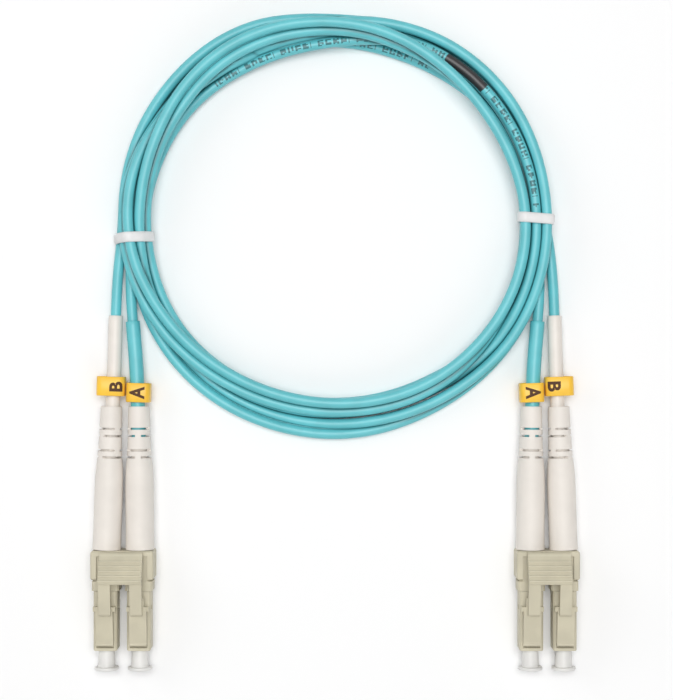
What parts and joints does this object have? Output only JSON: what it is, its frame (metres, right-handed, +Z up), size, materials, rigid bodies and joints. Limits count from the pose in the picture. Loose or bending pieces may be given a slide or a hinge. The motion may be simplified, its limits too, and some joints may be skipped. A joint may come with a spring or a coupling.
{
  "type": "fibre optic patch cord",
  "caption": "Duplex LC to LC fibre optic patch cord, coiled and tied, with dust caps, boots and channel markers.",
  "frame": {"origin": "midway between the two duplex plugs, on the surface that the cord lies on", "axes": "+X across the coil from the left plug pair to the right one, +Y from the plugs towards the coil, +Z up"},
  "size_m": [0.0916, 0.1238, 0.0096],
  "materials": {
    "aqua_jacket": "satin, zip cord jacket of flame-retardant PVC",
    "aqua_sleeve": "satin furcation tube",
    "cream_sleeve": "satin furcation tube",
    "boot_rubber": "matte, soft strain relief",
    "plug_plastic": "fine matte moulded plastic, beige",
    "ferrule_ceramic": "polished zirconia",
    "plated_metal": "nickel plated, turned",
    "spring_steel": "drawn wire",
    "crimp_metal": "crimped, satin",
    "marker_plastic": "yellow, soft gloss, dark brown letter",
    "cap_plastic": "translucent white",
    "tie_plastic": "soft white band",
    "buffer_plastic": "fibre buffer"
  },
  "bodies": {
    "cord_and_plugs": {"cord_coil": "aqua_jacket", "left_tie_band": "tie_plastic", "right_tie_band": "tie_plastic", "left_duplex_clip": "plug_plastic", "left_a_housing": "plug_plastic", "left_a_rear_body": "plug_plastic", "left_a_crimp_sleeve": "crimp_metal", "left_a_boot": "boot_rubber", "left_a_cord_leg": "aqua_jacket", "left_a_furcation_sleeve": "aqua_sleeve", "left_a_ferrule_spring": "spring_steel", "left_b_housing": "plug_plastic", "left_b_rear_body": "plug_plastic", "left_b_crimp_sleeve": "crimp_metal", "left_b_boot": "boot_rubber", "left_b_cord_leg": "aqua_jacket", "left_b_furcation_sleeve": "cream_sleeve", "left_b_ferrule_spring": "spring_steel", "right_duplex_clip": "plug_plastic", "right_a_housing": "plug_plastic", "right_a_rear_body": "plug_plastic", "right_a_crimp_sleeve": "crimp_metal", "right_a_boot": "boot_rubber", "right_a_cord_leg": "aqua_jacket", "right_a_furcation_sleeve": "aqua_sleeve", "right_a_ferrule_spring": "spring_steel", "right_b_housing": "plug_plastic", "right_b_rear_body": "plug_plastic", "right_b_crimp_sleeve": "crimp_metal", "right_b_boot": "boot_rubber", "right_b_cord_leg": "aqua_jacket", "right_b_furcation_sleeve": "cream_sleeve", "right_b_ferrule_spring": "spring_steel"},
    "left_trigger": {"left_release_trigger": "plug_plastic"},
    "left_a_latch_arm": {"left_a_latch": "plug_plastic"},
    "left_a_ferrule_group": {"left_a_ferrule": "ferrule_ceramic", "left_a_ferrule_flange": "plated_metal", "left_a_fibre": "buffer_plastic"},
    "left_a_cap": {"left_a_dust_cap": "cap_plastic"},
    "left_a_marker_loop": {"left_a_marker": "marker_plastic"},
    "left_b_latch_arm": {"left_b_latch": "plug_plastic"},
    "left_b_ferrule_group": {"left_b_ferrule": "ferrule_ceramic", "left_b_ferrule_flange": "plated_metal", "left_b_fibre": "buffer_plastic"},
    "left_b_cap": {"left_b_dust_cap": "cap_plastic"},
    "left_b_marker_loop": {"left_b_marker": "marker_plastic"},
    "right_trigger": {"right_release_trigger": "plug_plastic"},
    "right_a_latch_arm": {"right_a_latch": "plug_plastic"},
    "right_a_ferrule_group": {"right_a_ferrule": "ferrule_ceramic", "right_a_ferrule_flange": "plated_metal", "right_a_fibre": "buffer_plastic"},
    "right_a_cap": {"right_a_dust_cap": "cap_plastic"},
    "right_a_marker_loop": {"right_a_marker": "marker_plastic"},
    "right_b_latch_arm": {"right_b_latch": "plug_plastic"},
    "right_b_ferrule_group": {"right_b_ferrule": "ferrule_ceramic", "right_b_ferrule_flange": "plated_metal", "right_b_fibre": "buffer_plastic"},
    "right_b_cap": {"right_b_dust_cap": "cap_plastic"},
    "right_b_marker_loop": {"right_b_marker": "marker_plastic"}
  },
  "joints": [
    {"name": "left_trigger_press", "type": "hinge", "parent": "cord_and_plugs", "child": "left_trigger", "pos_m": [-0.03988, -0.01175, 0.00655], "axis": [1, 0, 0], "range_deg": [0, 4.4], "stiffness_Nm_per_rad": 0.02},
    {"name": "left_a_latch_press", "type": "hinge", "parent": "cord_and_plugs", "child": "left_a_latch_arm", "pos_m": [-0.03675, -0.02835, 0.00585], "axis": [-1, 0, 0], "range_deg": [0, 8], "stiffness_Nm_per_rad": 0.01},
    {"name": "left_a_ferrule_float", "type": "slide", "parent": "cord_and_plugs", "child": "left_a_ferrule_group", "axis": [0, 1, 0], "range_m": [0, 0.001], "stiffness_N_per_m": 100, "deforming": ["left_a_ferrule_spring"]},
    {"name": "left_a_cap_pull", "type": "slide", "parent": "cord_and_plugs", "child": "left_a_cap", "axis": [0, -1, 0], "range_m": [0, 0.015]},
    {"name": "left_a_marker_slide", "type": "slide", "parent": "cord_and_plugs", "child": "left_a_marker_loop", "axis": [-0.036, 0.9993, -0.011], "range_m": [-0.0007, 0.003]},
    {"name": "left_b_latch_press", "type": "hinge", "parent": "cord_and_plugs", "child": "left_b_latch_arm", "pos_m": [-0.043, -0.02835, 0.00585], "axis": [-1, 0, 0], "range_deg": [0, 8], "stiffness_Nm_per_rad": 0.01},
    {"name": "left_b_ferrule_float", "type": "slide", "parent": "cord_and_plugs", "child": "left_b_ferrule_group", "axis": [0, 1, 0], "range_m": [0, 0.001], "stiffness_N_per_m": 100, "deforming": ["left_b_ferrule_spring"]},
    {"name": "left_b_cap_pull", "type": "slide", "parent": "cord_and_plugs", "child": "left_b_cap", "axis": [0, -1, 0], "range_m": [0, 0.015]},
    {"name": "left_b_marker_slide", "type": "slide", "parent": "cord_and_plugs", "child": "left_b_marker_loop", "axis": [0.036, 0.9993, -0.011], "range_m": [-0.0012, 0.003]},
    {"name": "right_trigger_press", "type": "hinge", "parent": "cord_and_plugs", "child": "right_trigger", "pos_m": [0.03988, -0.01175, 0.00655], "axis": [1, 0, 0], "range_deg": [0, 4.4], "stiffness_Nm_per_rad": 0.02},
    {"name": "right_a_latch_press", "type": "hinge", "parent": "cord_and_plugs", "child": "right_a_latch_arm", "pos_m": [0.03675, -0.02835, 0.00585], "axis": [-1, 0, 0], "range_deg": [0, 8], "stiffness_Nm_per_rad": 0.01},
    {"name": "right_a_ferrule_float", "type": "slide", "parent": "cord_and_plugs", "child": "right_a_ferrule_group", "axis": [0, 1, 0], "range_m": [0, 0.001], "stiffness_N_per_m": 100, "deforming": ["right_a_ferrule_spring"]},
    {"name": "right_a_cap_pull", "type": "slide", "parent": "cord_and_plugs", "child": "right_a_cap", "axis": [0, -1, 0], "range_m": [0, 0.015]},
    {"name": "right_a_marker_slide", "type": "slide", "parent": "cord_and_plugs", "child": "right_a_marker_loop", "axis": [0.036, 0.9993, -0.011], "range_m": [-0.0007, 0.003]},
    {"name": "right_b_latch_press", "type": "hinge", "parent": "cord_and_plugs", "child": "right_b_latch_arm", "pos_m": [0.043, -0.02835, 0.00585], "axis": [-1, 0, 0], "range_deg": [0, 8], "stiffness_Nm_per_rad": 0.01},
    {"name": "right_b_ferrule_float", "type": "slide", "parent": "cord_and_plugs", "child": "right_b_ferrule_group", "axis": [0, 1, 0], "range_m": [0, 0.001], "stiffness_N_per_m": 100, "deforming": ["right_b_ferrule_spring"]},
    {"name": "right_b_cap_pull", "type": "slide", "parent": "cord_and_plugs", "child": "right_b_cap", "axis": [0, -1, 0], "range_m": [0, 0.015]},
    {"name": "right_b_marker_slide", "type": "slide", "parent": "cord_and_plugs", "child": "right_b_marker_loop", "axis": [-0.036, 0.9993, -0.011], "range_m": [-0.0012, 0.003]}
  ],
  "couplings": [
    {"joint": "left_a_latch_press", "follows": "left_trigger_press", "ratio": 1.8},
    {"joint": "left_b_latch_press", "follows": "left_trigger_press", "ratio": 1.8},
    {"joint": "right_a_latch_press", "follows": "right_trigger_press", "ratio": 1.8},
    {"joint": "right_b_latch_press", "follows": "right_trigger_press", "ratio": 1.8}
  ]
}
